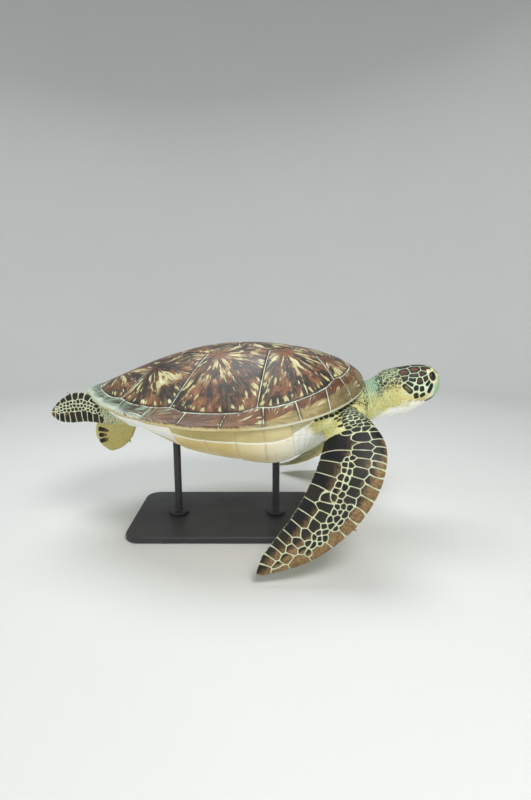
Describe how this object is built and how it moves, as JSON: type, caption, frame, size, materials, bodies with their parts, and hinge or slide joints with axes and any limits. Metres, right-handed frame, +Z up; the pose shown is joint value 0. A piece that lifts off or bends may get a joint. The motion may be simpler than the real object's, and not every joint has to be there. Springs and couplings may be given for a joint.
{
  "type": "green sea turtle model on a display stand",
  "caption": "Life-size swimming green sea turtle with a plated shell and long flippers, held over a flat base by two rods.",
  "frame": {"origin": "middle of the underside of the stand's base, on the floor", "axes": "+X towards the turtle's head, +Y to its left, +Z up"},
  "size_m": [1.0987, 0.8443, 0.5464],
  "materials": {
    "carapace": "satin horn, chestnut with cream rays",
    "plastron": "satin horn, pale yellow",
    "skin": "matt wrinkled skin, cream and yellow",
    "scaled_skin": "satin dark scales with cream seams",
    "eye": "wet gloss, near black",
    "claw": "satin horn",
    "stand": "satin black powder coat"
  },
  "bodies": {
    "root": {"carapace": "carapace", "plastron": "plastron", "torso": "skin", "neck": "skin", "head": "scaled_skin", "eye_left": "eye", "eye_right": "eye", "front_flipper_right": "scaled_skin", "front_flipper_left": "scaled_skin", "hind_flipper_right": "scaled_skin", "hind_flipper_left": "scaled_skin", "front_claw_right": "claw", "front_claw_left": "claw", "hind_claw_right": "claw", "hind_claw_left": "claw", "tail": "scaled_skin", "stand_base": "stand", "stand_rod_front": "stand", "stand_rod_rear": "stand"}
  },
  "joints": []
}
